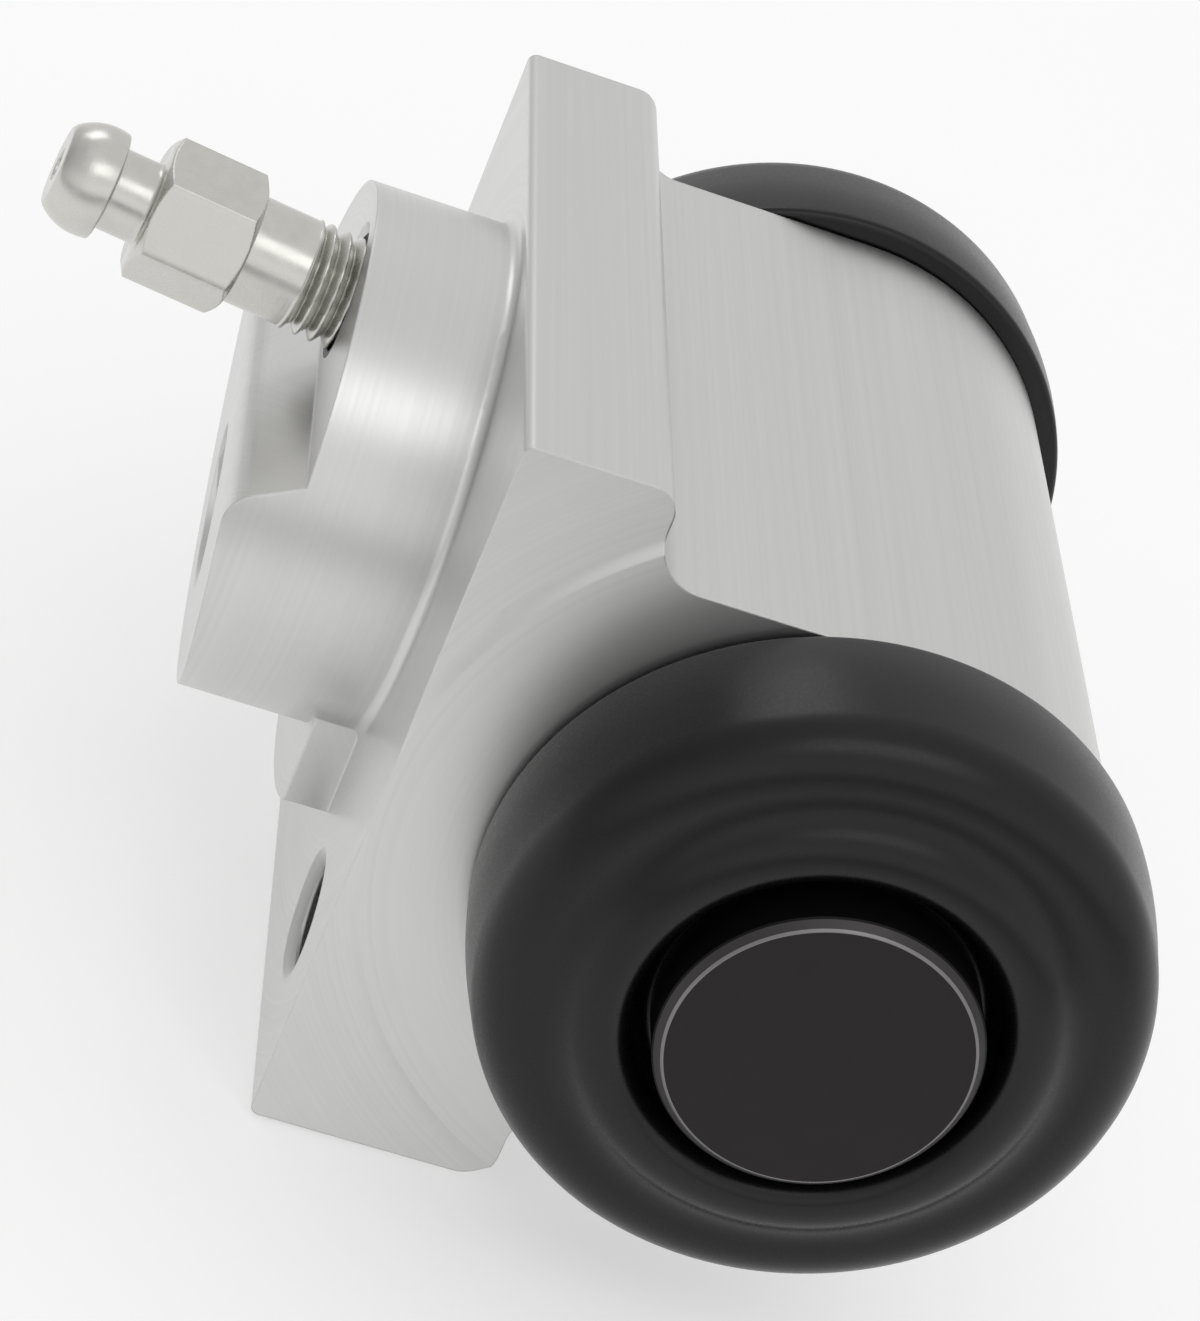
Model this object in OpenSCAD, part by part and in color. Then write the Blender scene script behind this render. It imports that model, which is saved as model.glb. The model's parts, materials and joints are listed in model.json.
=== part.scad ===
// Drum-brake wheel cylinder with two opposed pistons.
// X runs along the bore, +Y points inboard out of the mounting face, +Z is up.
// The origin is where the pilot axis meets the mounting face.

/* [Extruded block] */
// Length of the block along the bore
block_length = 51.8; // [48:0.1:58]
// Distance from the mounting face to the bore axis
bore_offset = 26.2; // [25:0.1:29]
// Drop of the bore axis below the pilot axis
bore_drop = 5.8; // [5:0.1:7]
// Outside diameter of the barrel
barrel_dia = 37; // [35.5:0.1:38.5]
// Height of the flange above the pilot axis
flange_top = 18.2; // [17.8:0.1:21]
// Depth of the flange below the pilot axis
flange_bottom = 30.9; // [29.5:0.1:34]
// Flange thickness above the barrel
flange_thin = 9.25; // [7:0.05:11]
// Flange thickness below the barrel
flange_thick = 15.2; // [14:0.1:18]
// Rounding of the upper outer flange corner
flange_top_round = 1.7; // [0.6:0.1:2]
// Rounding of the lower outer flange corner
flange_low_round = 2.2; // [0.6:0.1:3]
// Fillet between flange and barrel
barrel_fillet = 3; // [1:0.1:3]
// Rounding of the two long edges of the mounting face
face_edge_round = 0.6; // [0.2:0.1:1]

/* [Turned ends] */
// Diameter of the turned pad on each end face
pad_dia = 51; // [48:0.1:52]
// Height of the pad over the end face
pad_rise = 0.4; // [0.2:0.05:0.8]
// Fillet at the foot of the pad
pad_fillet = 2; // [1:0.1:3]
// Length of the spigot that carries the boot
spigot_length = 5.2; // [4.6:0.1:6.5]
// Diameter of the spigot's retaining lip
spigot_dia = 33.4; // [32.6:0.1:34.4]
// Diameter of the neck behind the lip
neck_dia = 30.6; // [29.6:0.1:31.4]
// Width of the neck behind the lip
neck_width = 3.2; // [2.6:0.1:3.6]
// Bevel on the spigot's outer edge
spigot_bevel = 0.8; // [0.3:0.1:1]
// Bore diameter
bore_dia = 25.4; // [24.6:0.1:26]
// Bevel at the mouths of the bore
bore_bevel = 0.6; // [0.2:0.1:1]

/* [Pilot boss] */
// Pilot diameter
pilot_dia = 33; // [31:0.1:34]
// Height of the low shelf over the mounting face
shelf_low = 9; // [8:0.1:10]
// Height of the high face over the pilot axis
shelf_high = 12.8; // [12:0.1:14.5]
// Slope of the high face, falling away from the bleeder
shelf_slope = 6.8; // [4:0.1:9]
// Distance of the step's foot from the pilot axis
step_place = 5.6; // [5:0.1:5.9]
// Lean of the step's wall, rising away from the bleeder
step_lean = 25; // [15:1:30]
// Rounding along the top of the step
step_round = 2; // [0.8:0.1:2.6]
// Fillet where the pilot meets the mounting face
pilot_fillet = 0.6; // [0.2:0.1:0.8]

/* [Locating key] */
// Width of the key along the bore
key_width = 23.6; // [20:0.1:26]
// Radius of the key's end about the pilot axis
key_reach = 21.4; // [20:0.1:23]
// Height of the key over the mounting face
key_height = 2.9; // [2:0.1:3.5]

/* [Mounting threads] */
// Spacing of the two mounting threads
bolt_spacing = 35; // [34:0.1:37]
// Drop of the mounting threads below the pilot axis
bolt_drop = 21.6; // [21:0.1:23]
// Core diameter of the mounting threads
bolt_core = 6.8; // [5:0.1:7]
// Depth of the mounting threads
bolt_depth = 13; // [9:0.1:14]
// Diameter of the lead-in at each mounting thread
bolt_lead = 8.4; // [7.2:0.1:8.8]

/* [Inlet port] */
// Drop of the inlet port below the pilot axis
inlet_drop = 6.4; // [5.6:0.1:7]
// Core diameter of the inlet thread
inlet_core = 9; // [8:0.1:9.6]
// Depth of the inlet thread
inlet_depth = 12; // [9:0.1:13]
// Diameter of the lead-in at the inlet
inlet_lead = 10.6; // [9.8:0.1:11]
// Diameter of the fluid passages to the bore
passage_dia = 2.6; // [1.6:0.1:3]

/* [Bleeder screw] */
// Height of the bleeder above the pilot axis, at the low shelf
bleeder_place = 10.5; // [10.2:0.1:11]
// Lean of the bleeder away from the inlet
bleeder_lean = 7; // [5:0.1:9]
// Thread diameter
bleeder_thread = 7; // [6:0.1:7.2]
// Bare thread between the shelf and the shank
bleeder_bare = 3.2; // [2:0.1:4]
// Thread engaged below the shelf
bleeder_engaged = 9; // [7:0.1:11]
// Radial clearance in the thread
thread_clear = 0.05; // [0.02:0.01:0.1]
// Bevel at the mouth of the bleeder's hole
bleeder_bevel = 0.5; // [0.2:0.1:0.6]
// Shank diameter
shank_dia = 6.8; // [6:0.1:7.4]
// Shank length
shank_length = 3.6; // [2:0.1:5]
// Hexagon width across flats
hex_flats = 8; // [8:0.1:10]
// Hexagon length
hex_length = 6.2; // [4:0.1:8]
// Angle at which the tightened hexagon stands
hex_turn = -12; // [-30:1:30]
// Diameter of the hexagon's flat end faces
hex_face = 7.7; // [7:0.1:8]
// Angle of the bevels round the hexagon's ends
hex_lead = 30; // [20:5:45]
// Neck diameter behind the nipple
nipple_neck_dia = 5.1; // [4:0.1:5.6]
// Neck length behind the nipple
nipple_neck = 2.5; // [1.5:0.1:4]
// Nipple bead diameter
nipple_dia = 6.9; // [6.4:0.1:7.6]
// Nipple bead length
nipple_length = 3.3; // [2.6:0.1:4]
// Distance from the bead's rear to its widest place
nipple_belly = 0.9; // [0.5:0.1:1.3]
// Drilling along the screw
drill_dia = 2; // [1.2:0.1:2.2]
// Diameter of the cone's flat tip
cone_tip = 3.4; // [3.2:0.1:4]

/* [Pistons] */
// Radial clearance of the guide in the bore
guide_clear = 0.04; // [0.02:0.01:0.1]
// Reach of the nose beyond the spigot
nose_reach = 8.2; // [7.6:0.1:9]
// Nose diameter
nose_dia = 18.8; // [18.2:0.1:19.4]
// Distance from the nose face to the guide
nose_length = 10.4; // [10:0.1:11]
// Bevel around the nose face
nose_bevel = 0.6; // [0.3:0.1:0.9]
// Length of the guide
guide_length = 12.5; // [11:0.1:14]
// Bevel on the guide's edges
guide_bevel = 0.5; // [0.2:0.1:1]
// Diameter of the groove for the boot's lip
lip_groove_dia = 16.6; // [15.6:0.1:17.2]
// Width of the groove for the boot's lip
lip_groove = 2.4; // [2:0.1:2.8]
// Distance from the nose face to the groove
lip_groove_place = 4.2; // [3.8:0.1:4.6]

/* [Dust boots] */
// Room between the spigot's lip and the boot's skirt, at the rim
boot_room = 1.3; // [1:0.1:1.8]
// Draft of the boot's skirt
boot_draft = 3.5; // [2:0.5:6]
// Gap between the end pad and the boot's rim
boot_gap = 0.3; // [0.2:0.1:0.6]
// Wall thickness of the boot
boot_wall = 2; // [1.6:0.1:2.2]
// Distance from the end pad to the boot's front
boot_length = 10.8; // [10.4:0.1:11.2]
// Radius of the front shoulder
boot_shoulder = 4.4; // [4:0.1:4.8]
// Opening of the boot's mouth
mouth_dia = 21.2; // [20.8:0.1:21.6]
// Radius of the bead round the mouth
mouth_round = 1.8; // [1.6:0.1:2]
// Depth of the valley between shoulder and bead
mouth_valley = 0.2; // [0.1:0.1:0.5]
// Rise of the mouth's bead over the front
mouth_rise = 1.3; // [1:0.1:1.6]
// Depth of the lip outside the piston's nose
lip_proud = 0.3; // [0.2:0.1:0.5]
// Radial clearance of rubber on metal
rubber_clear = 0.08; // [0.05:0.01:0.1]

/* [Seals and spring] */
// Radial clearance of the seal lip in the bore
seal_clear = 0.03; // [0.02:0.01:0.05]
// Length of the cup seal
cup_length = 7.2; // [6.4:0.1:8]
// Thickness of the cup's base
cup_base = 2.6; // [2:0.1:3]
// Wall of the cup at its root
cup_wall = 3; // [2.4:0.1:3.2]
// Relief round the cup's base
cup_relief = 0.75; // [0.4:0.05:1]
// Width of the cup's sealing lip
cup_lip = 1; // [0.6:0.1:1.4]
// Sheet thickness of the expander
sheet = 0.8; // [0.5:0.1:1]
// Depth of the expander's dish
dish_depth = 3.4; // [2.6:0.1:4]
// Width of the expander's rolled rim
rim_width = 1.2; // [0.8:0.1:1.4]
// Spring wire diameter
wire_dia = 1.4; // [1:0.1:1.6]
// Spring outside diameter
spring_dia = 13.2; // [12:0.1:13.8]
// Clearance of the spring at each end
spring_clear = 0.05; // [0.02:0.01:0.1]
// Working coils of the spring
spring_coils = 6.5; // [5:0.5:8]

/* [Hidden] */
$fn = 96;
over = 1;
eps = 0.01;
// Side of the square that cuts a bevel of one millimetre when turned by 45 degrees
bevel_square = sqrt(2);

// Stations along the bore, measured outward from its middle
end_x = block_length / 2;
pad_x = end_x + pad_rise;
spigot_x = pad_x + spigot_length;
nose_x = spigot_x + nose_reach;
guide_front_x = nose_x - nose_length;
guide_rear_x = guide_front_x - guide_length;
cup_floor_x = guide_rear_x - cup_base;
cup_lip_x = guide_rear_x - cup_length;
dish_floor_x = cup_floor_x - sheet;
bore_axis = [0, -bore_offset, -bore_drop];

// Radii
barrel_r = barrel_dia / 2;
bore_r = bore_dia / 2;
pilot_r = pilot_dia / 2;
guide_r = bore_r - guide_clear;
nose_r = nose_dia / 2;
cup_r = bore_r - seal_clear;

// Bleeder stations along its own axis, zero at the low shelf
shank_z = bleeder_bare;
hex_z = shank_z + shank_length;
nipple_neck_z = hex_z + hex_length;
nipple_z = nipple_neck_z + nipple_neck;
nipple_end = nipple_z + nipple_length;
cone_length = (bleeder_thread - cone_tip) / 2;
cone_z = -bleeder_engaged - cone_length;

// Corner where the leaning step would meet the high face, as height and Z, and the middle of its rounding
corner_z = (step_place - (shelf_high - shelf_low) * tan(step_lean)) / (1 + tan(shelf_slope) * tan(step_lean));
corner_y = shelf_high + corner_z * tan(shelf_slope);
corner_back = step_round / (1 + sin(step_lean - shelf_slope));
corner_middle = [corner_y - corner_back * (cos(shelf_slope) + sin(step_lean)),
    corner_z - corner_back * (cos(step_lean) - sin(shelf_slope))];

// Quarter corner of radius r, square on two sides and hollow on the third
module hollow_corner(r) {
    difference() {
        translate([-eps, -eps]) square(r + eps);
        translate([r, r]) circle(r);
    }
}

// Sends a drawing in the Y-Z plane along X, centred
module along_bore(length) {
    rotate([90, 0, 90]) linear_extrude(length, center = true) children();
}

// Turns a half profile of radius and X around the bore axis
module turned() {
    translate(bore_axis) rotate([0, 90, 0]) rotate_extrude() children();
}

// The same piece at either end of the bore
module at_end(side) {
    mirror([side < 0 ? 1 : 0, 0, 0]) children();
}

// Section of the extrusion in the Y-Z plane
module block_section() {
    difference() {
        union() {
            translate([-flange_thin, -bore_drop]) square([flange_thin, flange_top + bore_drop]);
            translate([-flange_thick, -flange_bottom]) square([flange_thick, flange_bottom - bore_drop]);
            translate([-bore_offset, -bore_drop - barrel_r]) square([bore_offset, barrel_dia]);
            translate([-bore_offset, -bore_drop]) circle(barrel_r);
            translate([-flange_thin, barrel_r - bore_drop]) mirror([1, 0]) hollow_corner(barrel_fillet);
            translate([-flange_thick, -barrel_r - bore_drop]) rotate(180) hollow_corner(barrel_fillet);
        }
        translate([-flange_thin, flange_top]) mirror([0, 1]) hollow_corner(flange_top_round);
        translate([-flange_thick, -flange_bottom]) hollow_corner(flange_low_round);
        translate([0, flange_top]) rotate(180) hollow_corner(face_edge_round);
        translate([0, -flange_bottom]) mirror([1, 0]) hollow_corner(face_edge_round);
    }
}

// Envelope that faces the block's ends and leaves the turned pads
module end_envelope() {
    reach = bore_offset + barrel_dia + flange_bottom;
    cube([block_length, 2 * reach, 2 * reach], center = true);
    turned() {
        translate([0, -pad_x]) square([pad_dia / 2, 2 * pad_x]);
        for (side = [-1, 1]) {
            mirror([0, side < 0 ? 1 : 0]) intersection() {
                translate([pad_dia / 2, end_x]) hollow_corner(pad_fillet);
                translate([0, end_x - eps]) square([pad_dia, pad_rise + eps]);
            }
        }
    }
}

module block() {
    intersection() {
        along_bore(2 * pad_x) block_section();
        end_envelope();
    }
}

// Rounded edge from the step's wall over to the sloping high face
function step_edge(steps) = [
    for (i = [0 : steps])
        let (a = 90 - step_lean - (90 - step_lean + shelf_slope) * i / steps)
            corner_middle + step_round * [cos(a), sin(a)]
];

// Section of the stepped boss: low shelf, leaning step, sloping high face
module shelf_section() {
    far = -pilot_dia;
    translate([-2 * over, far]) square([shelf_low + 2 * over, 2 * pilot_dia]);
    polygon(concat([[0, far], [0, step_place], [shelf_low, step_place]], step_edge(8),
        [[shelf_high + far * tan(shelf_slope), far]]));
}

// Round pilot boss, cut to its shelves, with a fillet at its foot
module boss() {
    intersection() {
        translate([0, -over, 0]) rotate([-90, 0, 0]) cylinder(h = 2 * shelf_high, r = pilot_r);
        along_bore(pilot_dia + 2 * over) shelf_section();
    }
    rotate([-90, 0, 0]) rotate_extrude() translate([pilot_r, 0]) hollow_corner(pilot_fillet);
}

// Key beside the pilot that stops the cylinder turning, its end round about the pilot axis
module key() {
    rotate([90, 0, 0]) mirror([0, 0, 1]) translate([0, 0, -eps]) linear_extrude(key_height + eps)
        intersection() {
            translate([-key_width / 2, -key_reach]) square([key_width, key_reach]);
            circle(key_reach);
        }
}

// Spigot with the boot's neck and retaining lip
module spigot() {
    turned() difference() {
        translate([0, pad_x - over]) square([spigot_dia / 2, spigot_length + over]);
        translate([neck_dia / 2, pad_x]) square([spigot_dia, neck_width]);
        translate([spigot_dia / 2, spigot_x]) rotate(45)
            square(spigot_bevel * bevel_square, center = true);
    }
}

// Through bore with bevelled mouths
module bore() {
    turned() {
        translate([0, -spigot_x - over]) square([bore_r, 2 * spigot_x + 2 * over]);
        for (side = [-1, 1]) {
            translate([bore_r, side * spigot_x]) rotate(45) square(bore_bevel * bevel_square, center = true);
        }
    }
}

// Blind tapped hole along -Z from the origin, with a lead-in and a drill point
module tapped_hole(core, depth, lead) {
    rotate_extrude() polygon([[0, over], [lead / 2 + over, over], [core / 2, core / 2 - lead / 2],
        [core / 2, -depth], [0, -depth - core / 4]]);
}

module mounting_threads() {
    for (side = [-1, 1]) {
        translate([side * bolt_spacing / 2, 0, -bolt_drop]) rotate([-90, 0, 0])
            tapped_hole(bolt_core, bolt_depth, bolt_lead);
    }
}

// Inlet square to the high face, with a passage to the bore
module inlet_port() {
    translate([0, shelf_high - inlet_drop * tan(shelf_slope), -inlet_drop])
        rotate([-90 - shelf_slope, 0, 0]) {
        tapped_hole(inlet_core, inlet_depth, inlet_lead);
        translate([0, 0, -shelf_high - bore_offset]) cylinder(h = shelf_high + bore_offset, d = passage_dia);
    }
}

// Places a screw's own Z axis on the leaning bleeder axis
module on_bleeder_axis() {
    translate([0, shelf_low, bleeder_place]) rotate([bleeder_lean - 90, 0, 0]) children();
}

// Bleeder thread, sealing cone and passage to the top of the bore
module bleeder_hole() {
    hole_r = bleeder_thread / 2 + thread_clear;
    seat_z = passage_dia / 2 - hole_r - bleeder_engaged;
    reach = (shelf_low + bore_offset) / cos(bleeder_lean);
    on_bleeder_axis() {
        rotate_extrude() polygon([[0, over], [hole_r + bleeder_bevel + over, over], [hole_r, -bleeder_bevel],
            [hole_r, -bleeder_engaged], [passage_dia / 2, seat_z], [0, seat_z]]);
        translate([0, 0, -reach]) cylinder(h = reach, d = passage_dia);
    }
}

module body() {
    color("silver") difference() {
        union() {
            block();
            boss();
            key();
            for (side = [-1, 1]) {
                at_end(side) spigot();
            }
        }
        bore();
        mounting_threads();
        inlet_port();
        bleeder_hole();
    }
}

// Piston: flat nose with a boot groove, and a guide in the bore
module piston(side) {
    color([0.18, 0.18, 0.18]) at_end(side) turned() difference() {
        union() {
            translate([0, guide_front_x - eps]) square([nose_r, nose_length + eps]);
            translate([0, guide_rear_x]) square([guide_r, guide_length]);
        }
        translate([nose_r, nose_x]) rotate(45) square(nose_bevel * bevel_square, center = true);
        translate([lip_groove_dia / 2, nose_x - lip_groove_place - lip_groove]) square([nose_r, lip_groove]);
        for (x = [guide_front_x, guide_rear_x]) {
            translate([guide_r, x]) rotate(45) square(guide_bevel * bevel_square, center = true);
        }
    }
}

// Cup seal: flat base on the piston, lip opening towards the pressure side
module cup(side) {
    base_r = cup_r - cup_relief;
    color("black") at_end(side) turned() polygon([[0, guide_rear_x], [base_r, guide_rear_x],
        [base_r, cup_floor_x], [cup_r, cup_lip_x + cup_lip], [cup_r, cup_lip_x],
        [cup_r - cup_lip, cup_lip_x], [cup_r - cup_wall, cup_floor_x], [0, cup_floor_x]]);
}

// Expander: pressed dish in the cup's hollow, with a rolled rim
module expander(side) {
    dish_r = spring_dia / 2 + rubber_clear + sheet;
    color("lightgray") at_end(side) turned() {
        translate([0, dish_floor_x]) square([dish_r, sheet]);
        translate([dish_r - sheet, dish_floor_x - dish_depth]) square([sheet, dish_depth + eps]);
        translate([dish_r - eps, dish_floor_x - dish_depth]) square([rim_width + eps, sheet]);
    }
}

// Points of a ring of the spring's wire at a share t of its length
function wire_ring(t, sides) = [
    for (i = [0 : sides - 1])
        let (turn = 360 * spring_coils * t, around = 360 * i / sides,
            r = spring_dia / 2 - wire_dia / 2 + wire_dia / 2 * cos(around))
            [(2 * t - 1) * (dish_floor_x - spring_clear - wire_dia / 2) + wire_dia / 2 * sin(around),
                r * cos(turn), r * sin(turn)]
];

// Coil spring that keeps the two expanders apart
module spring() {
    sides = 8;
    rings = round(spring_coils * 20);
    points = [for (k = [0 : rings]) each wire_ring(k / rings, sides)];
    walls = [for (k = [0 : rings - 1], i = [0 : sides - 1])
        let (a = k * sides + i, b = k * sides + (i + 1) % sides)
            [a, b, b + sides, a + sides]];
    ends = [[for (i = [sides - 1 : -1 : 0]) i], [for (i = [0 : sides - 1]) rings * sides + i]];
    color("slategray") translate(bore_axis) polyhedron(points, concat(walls, ends), convexity = 10);
}

// Half section of the boot: bead in the neck, skirt, shoulder, rolled mouth, lip in the piston's groove
module boot_section() {
    rear_x = pad_x + boot_gap;
    shoulder_x = pad_x + boot_length - boot_shoulder;
    mouth_x = pad_x + boot_length + mouth_rise - mouth_round;
    skirt_r = spigot_dia / 2 + boot_room + boot_wall;
    shoulder_r = skirt_r - (shoulder_x - rear_x) * tan(boot_draft) - boot_shoulder / cos(boot_draft);
    mouth_r = mouth_dia / 2 + mouth_round;
    neck_r = neck_dia / 2 + rubber_clear;
    neck_front = pad_x + neck_width - rubber_clear;
    lip_r = lip_groove_dia / 2 + rubber_clear;
    lip_top = nose_r + lip_proud;
    lip_front = nose_x - lip_groove_place - rubber_clear;
    lip_rear = nose_x - lip_groove_place - lip_groove + rubber_clear;
    translate([neck_r, rear_x]) square([skirt_r - boot_wall / 2 - neck_r, neck_front - rear_x]);
    intersection() {
        translate([shoulder_r, shoulder_x]) rotate(boot_draft) boot_wall_section();
        translate([mouth_r, rear_x]) square([skirt_r, 2 * boot_length]);
    }
    translate([mouth_r, pad_x + boot_length - boot_wall])
        square([shoulder_r - mouth_r, boot_wall - mouth_valley]);
    translate([mouth_r, mouth_x]) circle(mouth_round);
    polygon([[lip_top, lip_rear], [mouth_r, mouth_x], [lip_top, lip_front]]);
    translate([lip_r, lip_rear]) square([lip_top - lip_r, lip_front - lip_rear]);
}

// Straight skirt that runs on into the half round of the shoulder
module boot_wall_section() {
    hollow = boot_shoulder - boot_wall;
    translate([hollow, -2 * boot_length]) square([boot_wall, 2 * boot_length]);
    difference() {
        circle(boot_shoulder);
        circle(hollow);
        translate([-2 * boot_shoulder, -2 * boot_shoulder]) square([4 * boot_shoulder, 2 * boot_shoulder]);
    }
}

module boot(side) {
    color([0.12, 0.12, 0.13]) at_end(side) turned() boot_section();
}

// Bleeder screw: cone, thread, shank, hexagon, neck and hose nipple, drilled through
module bleeder_screw() {
    thread_r = bleeder_thread / 2;
    color("gainsboro") on_bleeder_axis() difference() {
        union() {
            translate([0, 0, -bleeder_engaged]) cylinder(h = bleeder_engaged + shank_z, r = thread_r);
            translate([0, 0, cone_z]) cylinder(h = cone_length, r1 = cone_tip / 2, r2 = thread_r);
            translate([0, 0, shank_z]) cylinder(h = shank_length, d = shank_dia);
            intersection() {
                translate([0, 0, hex_z]) rotate(hex_turn)
                    cylinder(h = hex_length, d = hex_flats / cos(30), $fn = 6);
                hex_bevels();
            }
            translate([0, 0, nipple_neck_z - eps]) cylinder(h = nipple_neck + 2 * eps, d = nipple_neck_dia);
            nipple();
        }
        translate([0, 0, cone_z + cone_length]) cylinder(h = nipple_end - cone_z, d = drill_dia);
        translate([-bleeder_thread, 0, cone_z + cone_length + drill_dia / 2]) rotate([0, 90, 0])
            cylinder(h = 2 * bleeder_thread, d = drill_dia);
    }
}

// Turned bevels on both ends of the hexagon
module hex_bevels() {
    face_r = hex_face / 2;
    middle_r = face_r + hex_length / 2 / tan(hex_lead);
    translate([0, 0, hex_z]) rotate_extrude() polygon([[0, 0], [face_r, 0], [middle_r, hex_length / 2],
        [face_r, hex_length], [0, hex_length]]);
}

// Hose nipple: a ball cut square at its rear and at its end
module nipple() {
    translate([0, 0, nipple_z]) rotate_extrude() intersection() {
        translate([0, nipple_belly]) circle(d = nipple_dia);
        square([nipple_dia, nipple_length]);
    }
}

body();
piston(-1);  // piston_left
piston(1);  // piston_right
cup(-1);  // cup_left
cup(1);  // cup_right
expander(-1);  // expander_left
expander(1);  // expander_right
spring();
boot(-1);  // boot_left
boot(1);  // boot_right
bleeder_screw();
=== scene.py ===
import json
import math

import bmesh
import bpy
from mathutils import Matrix, Vector


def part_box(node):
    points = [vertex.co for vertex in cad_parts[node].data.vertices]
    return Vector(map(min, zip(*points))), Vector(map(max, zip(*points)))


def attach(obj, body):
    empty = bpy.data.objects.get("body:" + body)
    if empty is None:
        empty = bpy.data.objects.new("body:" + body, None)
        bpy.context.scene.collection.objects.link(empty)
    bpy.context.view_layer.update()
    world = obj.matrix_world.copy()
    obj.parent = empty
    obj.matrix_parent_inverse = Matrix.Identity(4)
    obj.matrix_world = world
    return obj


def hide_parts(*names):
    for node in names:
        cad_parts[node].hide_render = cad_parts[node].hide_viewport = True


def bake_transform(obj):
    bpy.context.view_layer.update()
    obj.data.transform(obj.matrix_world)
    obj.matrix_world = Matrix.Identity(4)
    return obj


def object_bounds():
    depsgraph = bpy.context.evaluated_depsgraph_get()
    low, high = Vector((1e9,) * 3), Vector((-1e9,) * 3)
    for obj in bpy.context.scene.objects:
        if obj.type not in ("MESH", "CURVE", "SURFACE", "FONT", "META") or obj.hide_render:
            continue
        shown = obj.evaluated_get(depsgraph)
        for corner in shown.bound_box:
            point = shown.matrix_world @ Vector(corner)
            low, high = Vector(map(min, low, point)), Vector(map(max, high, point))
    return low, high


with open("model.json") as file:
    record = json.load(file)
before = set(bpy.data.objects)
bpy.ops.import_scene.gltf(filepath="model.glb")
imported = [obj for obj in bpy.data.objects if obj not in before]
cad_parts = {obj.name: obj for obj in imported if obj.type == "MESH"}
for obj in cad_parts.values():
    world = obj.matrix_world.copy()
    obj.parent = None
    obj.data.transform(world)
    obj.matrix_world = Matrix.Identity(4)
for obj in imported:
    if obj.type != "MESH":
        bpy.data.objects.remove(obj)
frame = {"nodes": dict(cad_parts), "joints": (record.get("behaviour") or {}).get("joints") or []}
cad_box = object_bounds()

# Body: a length of extruded aluminium, faced and bored on a lathe, with the pilot boss turned on its
# mounting side. The long faces keep the die's fine lines, the turned faces have the tool's rings.
MM = 0.001
nodes = frame["nodes"]
piston_low, piston_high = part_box("piston_left")
BORE_Y = (piston_low.y + piston_high.y) / 2
BORE_Z = (piston_low.z + piston_high.z) / 2
screw_joint = next(joint for joint in frame["joints"] if joint["name"] == "bleeder_turn")
screw_axis = Vector(screw_joint["axis"]).normalized()

# Finish, in mm. The real lines and rings lie closer: these are as coarse as they need to be to show.
DIE_LINE = 0.35
DIE_RUN = 83.3
TURNED_LINE = 0.28
LINES_IN_STREAK = 6.25
LINE_HEIGHT = 0.02
CLOUD = 8.33
SOFT_EDGE = 0.2

# An end face's normal has more than this share along the bore. The boss starts at this height in mm,
# and is this much less rough than the rest.
END_FACING = 0.7
BOSS_FOOT = -0.05
BOSS_SMOOTHER = 0.03

# Threaded holes in the mounting side, the painted shade between their turns, and the mouth of the bleeder's
# hole, in mm
BOLT_X = 17.5
BOLT_Z = -21.6
BOLT_RADIUS = 4.15
BOLT_PITCH = 1.25
INLET_Z = -5.7
INLET_RADIUS = 5.2
INLET_PITCH = 1.0
HOLE_DEPTH = 14.0
THREAD_SHADE_FROM = 0.25
THREAD_SHADE_FULL = 0.6
MOUTH_RADIUS = 4.05
MOUTH_DEPTH = 3.0

# Sockets of a mix node that can't be told apart by name
COLOUR_A, COLOUR_B, COLOUR_OUT = 6, 7, 2
VECTOR_A, VECTOR_B, VECTOR_OUT = 4, 5, 1


def linear(text):
    """An sRGB hex colour as linear red, green, blue and full alpha."""
    parts = [int(text[i : i + 2], 16) / 255 for i in (1, 3, 5)]
    return [c / 12.92 if c <= 0.04045 else ((c + 0.055) / 1.055) ** 2.4 for c in parts] + [1.0]


def add(tree, kind, settings=None, links=None):
    """Adds one node, with its settings and its input links."""
    made = tree.nodes.new(kind)
    for key, value in (settings or {}).items():
        if isinstance(key, int) or key in made.inputs:
            made.inputs[key].default_value = value
        else:
            setattr(made, key, value)
    for key, socket in (links or {}).items():
        tree.links.new(socket, made.inputs[key])
    return made


def new_material(name):
    """An empty node material, its tree and its output, ready for a shader."""
    made = bpy.data.materials.new(name)
    made.use_nodes = True
    made.node_tree.nodes.clear()
    return made, made.node_tree, add(made.node_tree, "ShaderNodeOutputMaterial")


def from_bore(tree, here):
    """How far a place lies out from the bore's axis, as a socket."""
    foot = add(tree, "ShaderNodeVectorMath", {"operation": "SUBTRACT", 1: (0, BORE_Y, BORE_Z)}, {0: here})
    flat = add(tree, "ShaderNodeVectorMath", {"operation": "MULTIPLY", 1: (0, 1, 1)}, {0: foot.outputs[0]})
    out = add(tree, "ShaderNodeVectorMath", {"operation": "LENGTH"}, {0: flat.outputs[0]})
    return out.outputs["Value"]


def from_screw(tree, here):
    """How far a place lies along the bleeder's axis and out from it, as two sockets."""
    foot = add(tree, "ShaderNodeVectorMath", {"operation": "SUBTRACT", 1: screw_joint["pos_m"]}, {0: here})
    along = add(tree, "ShaderNodeVectorMath", {"operation": "DOT_PRODUCT", 1: tuple(screw_axis)},
                {0: foot.outputs[0]})
    level = add(tree, "ShaderNodeVectorMath", {"operation": "SCALE", 0: tuple(screw_axis)},
                {"Scale": along.outputs["Value"]})
    out = add(tree, "ShaderNodeVectorMath", {"operation": "DISTANCE"},
              {0: foot.outputs[0], 1: level.outputs[0]})
    return along.outputs["Value"], out.outputs["Value"]


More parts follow.
